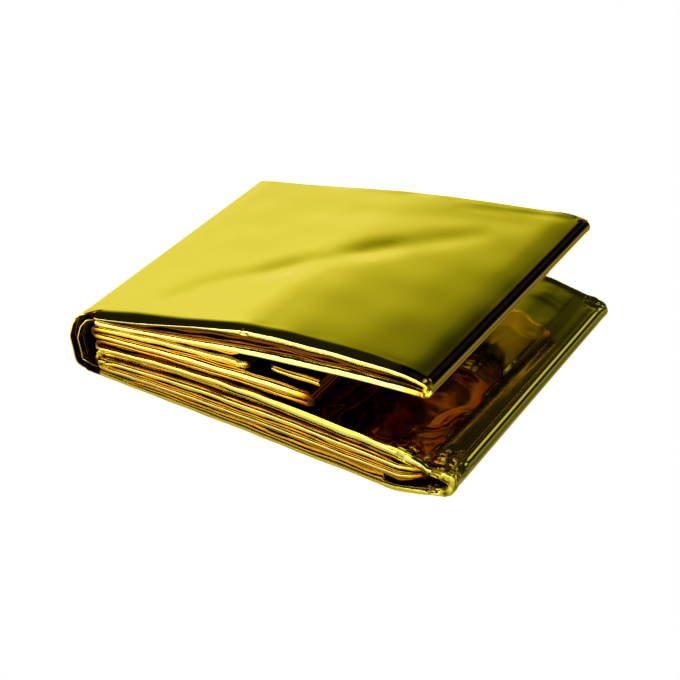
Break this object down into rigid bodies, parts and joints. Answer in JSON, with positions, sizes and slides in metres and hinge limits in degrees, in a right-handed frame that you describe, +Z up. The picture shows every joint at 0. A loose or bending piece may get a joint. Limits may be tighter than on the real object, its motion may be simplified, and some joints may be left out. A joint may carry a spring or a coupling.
{
  "type": "emergency foil blanket",
  "caption": "Gold metallised-film emergency blanket, folded into a flat rectangular pad whose upper leaf stands open from the spine like a wedge.",
  "frame": {"origin": "on the floor, under the middle of the folded pad's bounding box", "axes": "+X from the spine to the open side, +Y along the spine towards the pad's back edge, +Z up"},
  "size_m": [0.1326, 0.0984, 0.0415],
  "materials": {
    "gold_film": "metallised film, mirror-bright gold"
  },
  "bodies": {
    "root": {"foil_blanket": "gold_film"}
  },
  "joints": []
}
